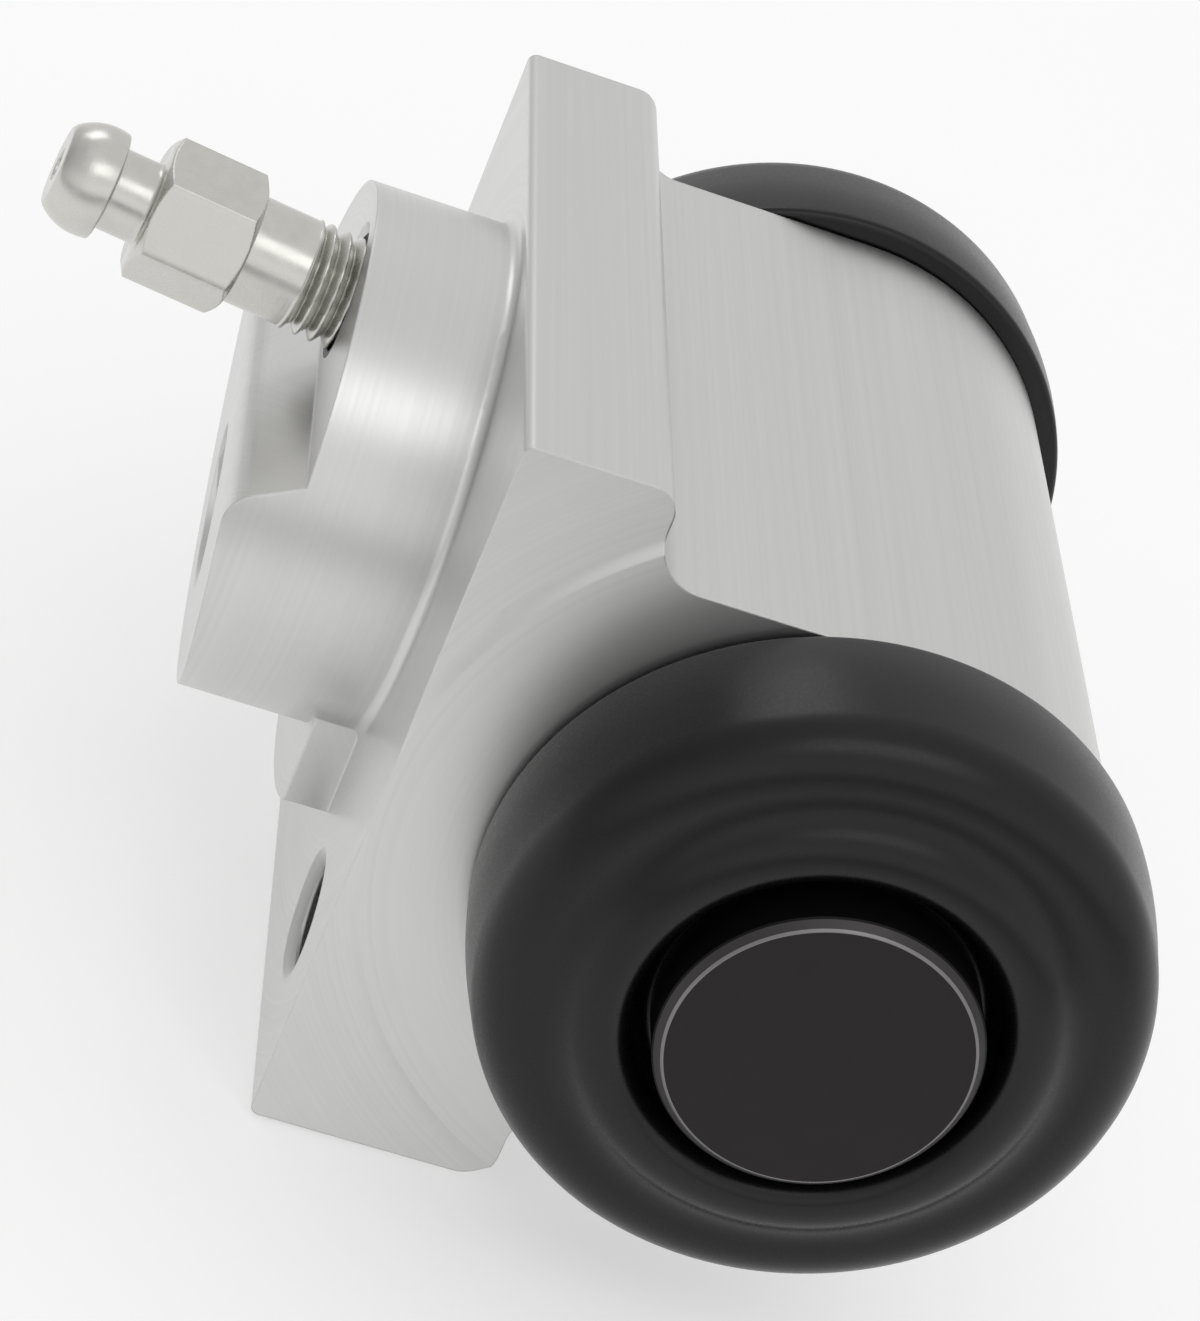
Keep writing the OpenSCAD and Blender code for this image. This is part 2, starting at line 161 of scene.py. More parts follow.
def cut_marks(tree, place):
    """A vector that runs across the die's lines or the tool's rings, and a mask of the boss."""
    here = place.outputs["Object"]
    at = add(tree, "ShaderNodeSeparateXYZ", links={0: here})
    facing = add(tree, "ShaderNodeSeparateXYZ", links={0: place.outputs["Normal"]})

    # Lines along the extrusion
    along = 1 / (DIE_RUN * MM)
    across = 1 / (DIE_LINE * MM)
    die = add(tree, "ShaderNodeVectorMath", {"operation": "MULTIPLY", 1: (along, across, across)}, {0: here})

    # Rings round the bore on the end faces
    end_rings = add(tree, "ShaderNodeMath", {"operation": "DIVIDE", 1: TURNED_LINE * MM},
                    {0: from_bore(tree, here)})
    end_vector = add(tree, "ShaderNodeCombineXYZ", links={"X": end_rings.outputs[0]})
    endwise = add(tree, "ShaderNodeMath", {"operation": "ABSOLUTE"}, {0: facing.outputs["X"]})
    on_end = add(tree, "ShaderNodeMath", {"operation": "GREATER_THAN", 1: END_FACING},
                 {0: endwise.outputs[0]})
    profile = add(tree, "ShaderNodeMix", {"data_type": "VECTOR"},
                  {"Factor": on_end.outputs[0], VECTOR_A: die.outputs[0], VECTOR_B: end_vector.outputs[0]})

    # Rings round the pilot, up the boss's wall and across its faces
    flat = add(tree, "ShaderNodeVectorMath", {"operation": "MULTIPLY", 1: (1, 0, 1)}, {0: here})
    radius = add(tree, "ShaderNodeVectorMath", {"operation": "LENGTH"}, {0: flat.outputs[0]})
    run = add(tree, "ShaderNodeMath", {"operation": "ADD"}, {0: radius.outputs["Value"], 1: at.outputs["Y"]})
    boss_rings = add(tree, "ShaderNodeMath", {"operation": "DIVIDE", 1: TURNED_LINE * MM},
                     {0: run.outputs[0]})
    boss_vector = add(tree, "ShaderNodeCombineXYZ", links={"Y": boss_rings.outputs[0]})
    on_boss = add(tree, "ShaderNodeMath", {"operation": "GREATER_THAN", 1: BOSS_FOOT * MM},
                  {0: at.outputs["Y"]})
    cut = add(tree, "ShaderNodeMix", {"data_type": "VECTOR"},
              {"Factor": on_boss.outputs[0], VECTOR_A: profile.outputs[VECTOR_OUT],
               VECTOR_B: boss_vector.outputs[0]})
    return cut.outputs[VECTOR_OUT], on_boss.outputs[0]


def hole_threads(tree, here):
    """Threads in the mounting holes and the inlet: their height, where they are, and the painted shade
    between their turns.

    They are drawn as rings, which look the same from outside.
    """
    at = add(tree, "ShaderNodeSeparateXYZ", links={0: here})
    across = add(tree, "ShaderNodeMath", {"operation": "ABSOLUTE"}, {0: at.outputs["X"]})
    past_end = add(tree, "ShaderNodeMath", {"operation": "ADD", 1: HOLE_DEPTH * MM}, {0: at.outputs["Y"]})
    beyond = add(tree, "ShaderNodeMath", {"operation": "MINIMUM", 1: 0.0}, {0: past_end.outputs[0]})
    spot = add(tree, "ShaderNodeCombineXYZ",
               links={"X": across.outputs[0], "Y": beyond.outputs[0], "Z": at.outputs["Z"]})
    inside = []
    for x, z, radius in ((BOLT_X, BOLT_Z, BOLT_RADIUS), (0, INLET_Z, INLET_RADIUS)):
        out = add(tree, "ShaderNodeVectorMath", {"operation": "DISTANCE", 1: (x * MM, 0, z * MM)},
                  {0: spot.outputs[0]})
        within = add(tree, "ShaderNodeMath", {"operation": "LESS_THAN", 1: radius * MM},
                     {0: out.outputs["Value"]})
        inside.append(within.outputs[0])
    in_bolt, in_inlet = inside
    in_hole = add(tree, "ShaderNodeMath", {"operation": "MAXIMUM"}, {0: in_bolt, 1: in_inlet})
    half_pitch = add(tree, "ShaderNodeMapRange",
                     {"To Min": BOLT_PITCH / 2 * MM, "To Max": INLET_PITCH / 2 * MM}, {"Value": in_inlet})
    ridge = add(tree, "ShaderNodeMath", {"operation": "PINGPONG"},
                {0: at.outputs["Y"], 1: half_pitch.outputs[0]})
    # Painted shade: the mounting threads are coloured darker between their turns
    line = add(tree, "ShaderNodeMapRange", {"From Min": THREAD_SHADE_FROM * MM, "From Max": THREAD_SHADE_FULL * MM},
               {"Value": ridge.outputs[0]})
    thread_shade = add(tree, "ShaderNodeMath", {"operation": "MULTIPLY"}, {0: line.outputs[0], 1: in_bolt})
    return ridge.outputs[0], in_hole.outputs[0], thread_shade.outputs[0]


def machined_aluminium():
    """Bare satin aluminium: pale grey, fine lines along the extrusion, rings where it was turned."""
    made, tree, output = new_material("machined_aluminium")
    place = add(tree, "ShaderNodeTexCoord")
    here = place.outputs["Object"]
    cut, on_boss = cut_marks(tree, place)
    ridge, in_hole, thread_shade = hole_threads(tree, here)

    # Fine lines, broader streaks of them, and clouds in the satin
    lines = add(tree, "ShaderNodeTexNoise", {"Scale": 1.0, "Detail": 4.0, "Roughness": 0.6}, {"Vector": cut})
    broad = add(tree, "ShaderNodeTexNoise", {"Scale": 1 / LINES_IN_STREAK, "Detail": 2.0}, {"Vector": cut})
    cloud = add(tree, "ShaderNodeTexNoise", {"Scale": 1 / (CLOUD * MM), "Detail": 4.0}, {"Vector": here})
    streak = add(tree, "ShaderNodeMath", {"operation": "MULTIPLY_ADD", 1: 0.5},
                 {0: broad.outputs[0], 2: lines.outputs[0]})
    tone = add(tree, "ShaderNodeMapRange", {"From Min": 0.45, "From Max": 1.05},
               {"Value": streak.outputs[0]})
    metal = add(tree, "ShaderNodeMix",
                {"data_type": "RGBA", COLOUR_A: linear("#d2d2d1"), COLOUR_B: linear("#d9d9d8")},
                {"Factor": tone.outputs[0]})
    dull = add(tree, "ShaderNodeMath", {"operation": "MULTIPLY_ADD", 1: 0.4},
               {0: cloud.outputs[0], 2: tone.outputs[0]})
    satin = add(tree, "ShaderNodeMapRange",
                {"From Min": 0.2, "From Max": 1.2, "To Min": 0.42, "To Max": 0.34},
                {"Value": dull.outputs[0]})
    rough = add(tree, "ShaderNodeMath", {"operation": "MULTIPLY_ADD", 1: -BOSS_SMOOTHER},
                {0: on_boss, 2: satin.outputs[0]})

    # Painted shade between the turns of the mounting threads, and a painted shadow, near black, in the mouth
    # of the bleeder's hole
    thread_shaded = add(tree, "ShaderNodeMix", {"data_type": "RGBA", COLOUR_B: linear("#c0c0bf")},
                {"Factor": thread_shade, COLOUR_A: metal.outputs[COLOUR_OUT]})
    screw_way, screw_out = from_screw(tree, here)
    near = add(tree, "ShaderNodeMath", {"operation": "LESS_THAN", 1: MOUTH_RADIUS * MM}, {0: screw_out})
    shallow = add(tree, "ShaderNodeMath", {"operation": "GREATER_THAN", 1: -MOUTH_DEPTH * MM},
                  {0: screw_way})
    shaded_mouth = add(tree, "ShaderNodeMath", {"operation": "MULTIPLY"},
                   {0: near.outputs[0], 1: shallow.outputs[0]})
    # Painted shadow: the mouth of the bleeder's hole is coloured near black
    mouth_shaded = add(tree, "ShaderNodeMix", {"data_type": "RGBA", COLOUR_B: linear("#202020")},
                  {"Factor": shaded_mouth.outputs[0], COLOUR_A: thread_shaded.outputs[COLOUR_OUT]})

    edge = add(tree, "ShaderNodeBevel", {"samples": 6, "Radius": SOFT_EDGE * MM})
    thread = add(tree, "ShaderNodeBump", {"Distance": 1.0},
                 {"Strength": in_hole, "Height": ridge, "Normal": edge.outputs[0]})
    relief = add(tree, "ShaderNodeBump", {"Strength": 0.04, "Distance": LINE_HEIGHT * MM},
                 {"Height": streak.outputs[0], "Normal": thread.outputs[0]})
    shader = add(tree, "ShaderNodeBsdfPrincipled", {"Metallic": 1.0},
                 {"Base Color": mouth_shaded.outputs[COLOUR_OUT], "Roughness": rough.outputs[0],
                  "Normal": relief.outputs[0]})
    tree.links.new(shader.outputs[0], output.inputs["Surface"])
    return made


def dress(node, material):
    """Gives a CAD node its finished material."""
    nodes[node].data.materials.clear()
    nodes[node].data.materials.append(material)


dress("body", machined_aluminium())

# Return spring: drawn steel wire coiled cold, which keeps the two cups apart in the bore.
# Each half is a mesh of its own, named for the piston at its end.
WIRE = 1.4
COILS = 6.5
HALF_TURN_STEPS = 24
WIRE_SIDES = 12
DRAWING_MARK = 1.11
MARK_HEIGHT = 0.02
spring_low, spring_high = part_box("spring")
COIL_RADIUS = (spring_high.y - spring_low.y) / 2 - WIRE * MM / 2


def drawn_steel(name, shade, roughness):
    """Cold-drawn or pressed steel: a plain grey with faint drawing marks."""
    made, tree, output = new_material(name)
    place = add(tree, "ShaderNodeTexCoord")
    marks = add(tree, "ShaderNodeTexNoise", {"Scale": 1 / (DRAWING_MARK * MM), "Detail": 3.0},
                {"Vector": place.outputs["Object"]})
    rough = add(tree, "ShaderNodeMapRange", {"To Min": roughness - 0.06, "To Max": roughness + 0.06},
                {"Value": marks.outputs[0]})
    relief = add(tree, "ShaderNodeBump", {"Strength": 0.08, "Distance": MARK_HEIGHT * MM},
                 {"Height": marks.outputs[0]})
    shader = add(tree, "ShaderNodeBsdfPrincipled", {"Metallic": 1.0, "Base Color": linear(shade)},
                 {"Roughness": rough.outputs[0], "Normal": relief.outputs[0]})
    tree.links.new(shader.outputs[0], output.inputs["Surface"])
    return made


def finish_mesh(name, work, material, sharp=35):
    """Closes a bmesh into an object, smooth but for edges sharper than the given angle."""
    bmesh.ops.recalc_face_normals(work, faces=work.faces)
    mesh = bpy.data.meshes.new(name)
    work.to_mesh(mesh)
    work.free()
    mesh.shade_smooth()
    mesh.set_sharp_from_angle(angle=math.radians(sharp))
    mesh.materials.append(material)
    made = bpy.data.objects.new(name, mesh)
    bpy.context.scene.collection.objects.link(made)
    return made


def skin(work, rings, closed=False):
    """Joins rings of points into a wall, and caps both ends unless the wall closes on itself."""
    made = [[work.verts.new(point) for point in ring] for ring in rings]
    pairs = list(zip(made, made[1:] + made[:1])) if closed else list(zip(made, made[1:]))
    for one, two in pairs:
        for i in range(len(one)):
            j = (i + 1) % len(one)
            work.faces.new((one[i], one[j], two[j], two[i]))
    if not closed:
        work.faces.new(made[0])
        work.faces.new(made[-1])


def spring_half(side):
    """Half of the coil, from the middle of the bore to one expander, and how far it reaches."""
    work = bmesh.new()
    steps = int(COILS * HALF_TURN_STEPS)
    reach = spring_high.x - WIRE * MM / 2
    rings = []
    for k in range(steps + 1):
        share = k / steps
        turn = math.pi * COILS * share
        out = Vector((0, math.cos(turn), side * math.sin(turn)))
        middle = Vector((side * reach * share, BORE_Y, BORE_Z)) + out * COIL_RADIUS
        ring = []
        for i in range(WIRE_SIDES):
            around = 2 * math.pi * i / WIRE_SIDES
            ring.append(middle + WIRE * MM / 2 * (math.cos(around) * out + Vector((math.sin(around), 0, 0))))
        rings.append(ring)
    skin(work, rings)
    return work, reach


spring_wire = drawn_steel("drawn_spring_steel", shade="#8d9094", roughness=0.35)
for side, body in ((-1, "left_piston"), (1, "right_piston")):
    work, reach = spring_half(side)
    half = finish_mesh("return_spring_" + body.split("_")[0], work, spring_wire)
    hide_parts("spring")
    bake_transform(half)

# Expanders: small dishes pressed from steel sheet that spread the lips of the cups.
# They lie in the hollow of each cup and carry the ends of the spring.
pressed_sheet = drawn_steel("pressed_steel_sheet", shade="#b9b9b6", roughness=0.32)
for node in ("expander_left", "expander_right"):
    dress(node, pressed_sheet)

# Cup seals: moulded EPDM rubber, one behind each piston, open towards the fluid.
# The moulding leaves them dull and black, and the fluid leaves a slight film.
SEAL_GRAIN = 0.25
BLOOM = 6.25
GRAIN_HEIGHT = 0.03


def moulded_rubber(name, shades, roughness, grain):
    """Moulded EPDM rubber: near black, a soft sheen, the fine grain of the mould and patches of bloom."""
    made, tree, output = new_material(name)
    place = add(tree, "ShaderNodeTexCoord")
    here = place.outputs["Object"]
    fine = add(tree, "ShaderNodeTexNoise", {"Scale": 1 / (grain * MM), "Detail": 4.0, "Roughness": 0.65},
               {"Vector": here})
    bloom = add(tree, "ShaderNodeTexNoise", {"Scale": 1 / (BLOOM * MM), "Detail": 3.0}, {"Vector": here})
    patch = add(tree, "ShaderNodeMapRange", {"From Min": 0.35, "From Max": 0.7}, {"Value": bloom.outputs[0]})
    colour = add(tree, "ShaderNodeMix",
                 {"data_type": "RGBA", COLOUR_A: linear(shades[0]), COLOUR_B: linear(shades[1])},
                 {"Factor": patch.outputs[0]})
    rough = add(tree, "ShaderNodeMapRange",
                {"From Min": 0.3, "From Max": 0.7, "To Min": roughness - 0.04, "To Max": roughness + 0.05},
                {"Value": fine.outputs[0]})
    relief = add(tree, "ShaderNodeBump", {"Strength": 0.08, "Distance": GRAIN_HEIGHT * MM},
                 {"Height": fine.outputs[0]})
    shader = add(tree, "ShaderNodeBsdfPrincipled", {"Specular IOR Level": 0.36},
                 {"Base Color": colour.outputs[COLOUR_OUT], "Roughness": rough.outputs[0],
                  "Normal": relief.outputs[0]})
    tree.links.new(shader.outputs[0], output.inputs["Surface"])
    return made


seal_rubber = moulded_rubber("moulded_seal_rubber", ("#121213", "#18181a"), 0.5, SEAL_GRAIN)
for node in ("cup_left", "cup_right"):
    dress(node, seal_rubber)

# Pistons: turned aluminium, anodised nearly black. The nose's bevel was cut afterwards,
# so it shows as a thin grey ring round the dark face that pushes the shoe.
NOSE_X = -piston_low.x
BARE_FROM = 8.74
HIGHLIGHT_TO = 8.92
BARE_DEPTH = 0.5
MOTTLE = 2.38
MOTTLE_HEIGHT = 0.02


def dark_anodised():
    """Anodised aluminium, near black and satin, with a worn grey bevel round the nose, a painted highlight
    on the bevel's inner edge and painted shade on the side behind the nose.
    """
    made, tree, output = new_material("dark_anodised_aluminium")
    place = add(tree, "ShaderNodeTexCoord")
    here = place.outputs["Object"]
    at = add(tree, "ShaderNodeSeparateXYZ", links={0: here})
    radius = from_bore(tree, here)
    along = add(tree, "ShaderNodeMath", {"operation": "ABSOLUTE"}, {0: at.outputs["X"]})
    outer = add(tree, "ShaderNodeMath", {"operation": "GREATER_THAN", 1: BARE_FROM * MM}, {0: radius})
    edge_highlight = add(tree, "ShaderNodeMath", {"operation": "LESS_THAN", 1: HIGHLIGHT_TO * MM}, {0: radius})
    front = add(tree, "ShaderNodeMath", {"operation": "GREATER_THAN", 1: NOSE_X - BARE_DEPTH * MM},
                {0: along.outputs[0]})
    bare = add(tree, "ShaderNodeMath", {"operation": "MULTIPLY"}, {0: outer.outputs[0], 1: front.outputs[0]})
    mottle = add(tree, "ShaderNodeTexNoise", {"Scale": 1 / (MOTTLE * MM), "Detail": 5.0, "Roughness": 0.6},
                 {"Vector": here})

    # The nose's face, its bevel with a painted highlight on its inner edge, and the side behind them,
    # painted darker as shade
    stain = add(tree, "ShaderNodeMix",
                {"data_type": "RGBA", COLOUR_A: linear("#282626"), COLOUR_B: linear("#2e2b2b")},
                {"Factor": mottle.outputs[0]})
    # Painted highlight: a thin lighter ring at the bevel's inner edge
    bevel = add(tree, "ShaderNodeMix",
                {"data_type": "RGBA", COLOUR_A: linear("#474545"), COLOUR_B: linear("#858383")},
                {"Factor": edge_highlight.outputs[0]})
    worn = add(tree, "ShaderNodeMix", {"data_type": "RGBA"},
               {"Factor": bare.outputs[0], COLOUR_A: stain.outputs[COLOUR_OUT],
                COLOUR_B: bevel.outputs[COLOUR_OUT]})
    # Painted shade: all but the front of the nose is coloured darker
    colour = add(tree, "ShaderNodeMix", {"data_type": "RGBA", COLOUR_A: linear("#0b0a0a")},
                 {"Factor": front.outputs[0], COLOUR_B: worn.outputs[COLOUR_OUT]})
    rough = add(tree, "ShaderNodeMapRange",
                {"From Min": 0.3, "From Max": 0.7, "To Min": 0.42, "To Max": 0.5},
                {"Value": mottle.outputs[0]})
    relief = add(tree, "ShaderNodeBump", {"Strength": 0.06, "Distance": MOTTLE_HEIGHT * MM},
                 {"Height": mottle.outputs[0]})
    shader = add(tree, "ShaderNodeBsdfPrincipled", {"Specular IOR Level": 0.15},
                 {"Base Color": colour.outputs[COLOUR_OUT], "Metallic": bare.outputs[0],
                  "Roughness": rough.outputs[0], "Normal": relief.outputs[0]})
    tree.links.new(shader.outputs[0], output.inputs["Surface"])
    return made


anodised = dark_anodised()
for node in ("piston_left", "piston_right"):
    dress(node, anodised)

# Dust boots: moulded EPDM rubber. A bead snaps behind the spigot's lip, the skirt and shoulder reach
# forward, and the mouth rolls inward to a lip in the piston's groove, so it stretches with the piston.
BOOT_SIDES = 192
BOOT_GRAIN = 0.22

# Corners of the boot's half section: radius, distance from the bore's middle, rounding, all in mm
BOOT_SECTION = (
    (15.38, 26.60, 0.3), (19.88, 26.60, 0.5), (20.05, 29.50, 40), (19.30, 37.10, 4.4), (14.90, 36.85, 3.0),
    (13.10, 38.40, 2.7), (10.60, 38.40, 1.4), (10.60, 36.30, 0.8), (9.70, 35.42, 0.5), (8.38, 35.42, 0.3),
    (8.38, 33.18, 0.3), (9.80, 33.18, 0.3), (12.60, 34.90, 0.5), (15.50, 35.10, 1.5), (17.60, 33.00, 1.5),
    (18.00, 29.42, 0.5), (15.38, 29.42, 0.3),
)

# The largest share of a side of the section that the rounding of one corner takes up
LONGEST_RUN = 0.7


def rounded(corners, steps=10):
    """Points of a closed outline whose corners are arcs of the radius that each one states."""
    points = []
    for i, (x, y, radius) in enumerate(corners):
        here = Vector((x, y))
        back = Vector(corners[i - 1][:2]) - here
        ahead = Vector(corners[(i + 1) % len(corners)][:2]) - here
        half = back.angle(ahead) / 2
        run = min(radius / math.tan(half), LONGEST_RUN * back.length, LONGEST_RUN * ahead.length)
        middle = here + (back.normalized() + ahead.normalized()).normalized() * run / math.cos(half)
        start = here + back.normalized() * run - middle
        end = here + ahead.normalized() * run - middle
        sweep = math.pi - 2 * half
        for k in range(steps + 1):
            turn = sweep * k / steps
            points.append(middle + (start * math.sin(sweep - turn) + end * math.sin(turn)) / math.sin(sweep))
    return points


def turned_rings(points, side, sides):
    """Rings of an outline of radius and distance, turned round the bore axis at one end."""
    rings = []
    for point in points:
        ring = []
        for k in range(sides):
            angle = 2 * math.pi * k / sides
            ring.append(Vector((side * point.y * MM, BORE_Y + point.x * MM * math.cos(angle),
                                BORE_Z + point.x * MM * math.sin(angle))))
        rings.append(ring)
    return rings


boot_rubber = moulded_rubber("moulded_boot_rubber", ("#09090b", "#0c0c0e"), 0.29, BOOT_GRAIN)
for side, end in ((-1, "left"), (1, "right")):
    work = bmesh.new()
    skin(work, turned_rings(rounded(BOOT_SECTION), side, BOOT_SIDES), closed=True)
    boot = finish_mesh("dust_boot_" + end, work, boot_rubber, sharp=60)
    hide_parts("boot_" + end)
    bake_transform(boot)

# Bleeder screw: turned from hexagon steel bar, threaded, drilled from its end and zinc plated.
# It screws down on a cone seat, and a hose pushes over the bead at its end.
SCREW_SIDES = 144
CONE_TIP = -10.8
CONE_TIP_RADIUS = 1.7
PITCH = 1.0
THREAD_RADIUS = 3.5
THREAD_DEPTH = 0.56
THREAD_START = -9.0
THREAD_END = 3.0
THREAD_STEPS = 16
FLANK_RATE = 2.5
CREST = 0.15
RUN_IN = 0.6
RUN_OUT = 0.35
HEX_BASE = 6.8
HEX_TOP = 13.0
HEX_FLAT = 4.0
HEX_CORNER = 4.58
HEX_TURN = math.radians(-12)
BEVEL_INSIDE = 0.15
BEVEL_SLOPE = math.radians(30)
BEVEL_STEP = 0.06
BEVEL_STEPS = 8
HOSE_BEAD_BASE = 15.6
HOSE_BEAD_MIDDLE = 16.4
HOSE_BEAD_RADIUS = 3.45
HOSE_BEAD_STEP = 0.25
HOSE_BEAD_STEPS = 12

# Turned lengths of the screw with their small roundings: height above the joint and radius, in mm
SHANK = ((THREAD_END, THREAD_RADIUS), (3.08, 3.42), (3.2, 3.4), (6.75, 3.4), (HEX_BASE, 3.45))
NECK = (
    (HEX_TOP, 2.75), (13.07, 2.63), (13.2, 2.56), (13.4, 2.55), (15.2, 2.55), (15.4, 2.58),
    (15.5, 2.7), (15.5, 3.22), (15.53, 3.31), (HOSE_BEAD_BASE, 3.37),
)
DRILLED_END = (
    (18.7, 2.52), (18.78, 2.42), (18.8, 2.3), (18.8, 1.1),
    (18.75, 1.02), (18.65, 1.0), (9.0, 1.0), (8.6, 0.3),
)

# Finish, in mm: tool rings, grain of the plate, soft edges, and the depths at which the thread's roots are
# painted darker as shade
TOOL_LINE = 0.3
TOOL_HEIGHT = 0.03
PLATE_GRAIN = 1.11
SCREW_EDGE = 0.12
ROOT_FROM = 0.1
ROOT_FULL = 0.5
screw_side = Vector((1, 0, 0))
screw_turned = Matrix((screw_side, screw_axis.cross(screw_side), screw_axis)).transposed().to_4x4()
screw_frame = Matrix.Translation(Vector(screw_joint["pos_m"])) @ screw_turned


def zinc_plate():
    """Zinc-plated steel: satin, a little warm, ringed by turning, with painted shade in the thread's roots.
    """
    made, tree, output = new_material("zinc_plated_steel")
    place = add(tree, "ShaderNodeTexCoord")
    here = place.outputs["Object"]
    along, radius = from_screw(tree, here)
    rings = add(tree, "ShaderNodeMath", {"operation": "DIVIDE", 1: TOOL_LINE * MM}, {0: along})
    across = add(tree, "ShaderNodeCombineXYZ", links={"Z": rings.outputs[0]})
    marks = add(tree, "ShaderNodeTexNoise", {"Scale": 1.0, "Detail": 3.0}, {"Vector": across.outputs[0]})
    plate = add(tree, "ShaderNodeTexNoise", {"Scale": 1 / (PLATE_GRAIN * MM), "Detail": 5.0},
                {"Vector": here})
    bright = add(tree, "ShaderNodeMix",
                 {"data_type": "RGBA", COLOUR_A: linear("#c9c8c2"), COLOUR_B: linear("#d8d7d2")},
                 {"Factor": plate.outputs[0]})
    # Painted shade: the thread's roots are coloured darker
    root = add(tree, "ShaderNodeMapRange",
               {"From Min": (THREAD_RADIUS - ROOT_FROM) * MM, "From Max": (THREAD_RADIUS - ROOT_FULL) * MM},
               {"Value": radius})
    threaded = add(tree, "ShaderNodeMath", {"operation": "LESS_THAN", 1: THREAD_END * MM}, {0: along})
    root_shade = add(tree, "ShaderNodeMath", {"operation": "MULTIPLY"},
                {0: root.outputs[0], 1: threaded.outputs[0]})
    colour = add(tree, "ShaderNodeMix", {"data_type": "RGBA", COLOUR_B: linear("#b9b8b1")},
                 {"Factor": root_shade.outputs[0], COLOUR_A: bright.outputs[COLOUR_OUT]})
    rough = add(tree, "ShaderNodeMapRange",
                {"From Min": 0.3, "From Max": 0.7, "To Min": 0.2, "To Max": 0.32},
                {"Value": plate.outputs[0]})
    edge = add(tree, "ShaderNodeBevel", {"samples": 6, "Radius": SCREW_EDGE * MM})
    relief = add(tree, "ShaderNodeBump", {"Strength": 0.25, "Distance": TOOL_HEIGHT * MM},
                 {"Height": marks.outputs[0], "Normal": edge.outputs[0]})
    shader = add(tree, "ShaderNodeBsdfPrincipled", {"Metallic": 1.0},
                 {"Base Color": colour.outputs[COLOUR_OUT], "Roughness": rough.outputs[0],
                  "Normal": relief.outputs[0]})
    tree.links.new(shader.outputs[0], output.inputs["Surface"])
    return made


def portion(part, whole):
    """A part as a share of the whole, kept between none and all of it."""
    return min(max(part / whole, 0.0), 1.0)


def thread_radius(z, angle):
    """A thread of about sixty degrees: flat crests and roots, fading out at the shank and at the cone."""
    phase = (z / PITCH - angle / (2 * math.pi)) % 1.0
    wave = portion(abs(phase - 0.5) * FLANK_RATE - CREST, 1.0)
    fade = portion(THREAD_END - z, RUN_OUT) * portion(z - THREAD_START, RUN_IN)
    return THREAD_RADIUS - THREAD_DEPTH * wave * fade


def hexagon_radius(z, angle):
    """A hexagon with slightly blunted corners and turned bevels at both ends."""
    sector = (angle - HEX_TURN) % (math.pi / 3) - math.pi / 6
    flat = HEX_FLAT / math.cos(sector)
    bevel = HEX_FLAT - BEVEL_INSIDE + min(z - HEX_BASE, HEX_TOP - z) / math.tan(BEVEL_SLOPE)
    return min(flat, bevel, HEX_CORNER)


def screw_ring(z, radius):
    """One ring round the screw's axis, whose radius is a number or a function of height and angle."""
    ring = []
    for k in range(SCREW_SIDES):
        angle = HEX_TURN + 2 * math.pi * k / SCREW_SIDES
        out = radius(z, angle) if callable(radius) else radius
        ring.append(Vector((out * math.cos(angle), out * math.sin(angle), z)) * MM)
    return ring


def bleeder_rings():
    """Rings of the whole screw, from the cone's tip to the bottom of the drilling."""
    turns = round((THREAD_END - THREAD_START) / PITCH)
    places = [(CONE_TIP, CONE_TIP_RADIUS), (THREAD_START, THREAD_RADIUS)]
    for k in range(1, turns * THREAD_STEPS):
        places.append((THREAD_START + k * PITCH / THREAD_STEPS, thread_radius))
    places.extend(SHANK)
    for k in range(BEVEL_STEPS + 1):
        places.append((HEX_BASE + BEVEL_STEP * k, hexagon_radius))
    for k in range(BEVEL_STEPS, -1, -1):
        places.append((HEX_TOP - BEVEL_STEP * k, hexagon_radius))
    places.extend(NECK)
    for k in range(1, HOSE_BEAD_STEPS + 1):
        z = HOSE_BEAD_BASE + k * HOSE_BEAD_STEP
        places.append((z, math.sqrt(HOSE_BEAD_RADIUS ** 2 - (z - HOSE_BEAD_MIDDLE) ** 2)))
    places.extend(DRILLED_END)
    return [screw_ring(z, radius) for z, radius in places]


work = bmesh.new()
skin(work, bleeder_rings())
bmesh.ops.transform(work, matrix=screw_frame, verts=work.verts)
screw = finish_mesh("plated_bleeder_screw", work, zinc_plate(), sharp=32)
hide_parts("bleeder_screw")
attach(screw, "bleeder")

# Floor: a plain matt white studio sheet under the part. It reads as white to the camera and in the metal,
# keeps the part's soft shadow, and is painted darker towards grey in front of the picture's lower edge, as
# painted shade.
FLOOR_SIZE = 6.0
FLOOR_GAP = 0.4
FALLS_FROM = -60
FALLS_TO = -210
FALLS_BY = 0.5
FLOOR_LIFT = 0.45
bpy.ops.mesh.primitive_plane_add(size=FLOOR_SIZE, location=(0, 0, cad_box[0][2] - FLOOR_GAP * MM))
floor = bpy.context.object
floor.name = "floor"
paper, tree, output = new_material("matt_white_paper")
spot = add(tree, "ShaderNodeTexCoord")
reach = add(tree, "ShaderNodeSeparateXYZ", links={0: spot.outputs["Object"]})
fall = add(tree, "ShaderNodeMapRange",
           {"interpolation_type": "SMOOTHSTEP", "From Min": FALLS_TO * MM, "From Max": FALLS_FROM * MM,
            "To Min": FALLS_BY, "To Max": 1.0},
           {"Value": reach.outputs["X"]})
shade = add(tree, "ShaderNodeMix",
            {"data_type": "RGBA", COLOUR_A: linear("#000000"), COLOUR_B: linear("#cecece")},
            {"Factor": fall.outputs[0]})
ray = add(tree, "ShaderNodeLightPath")
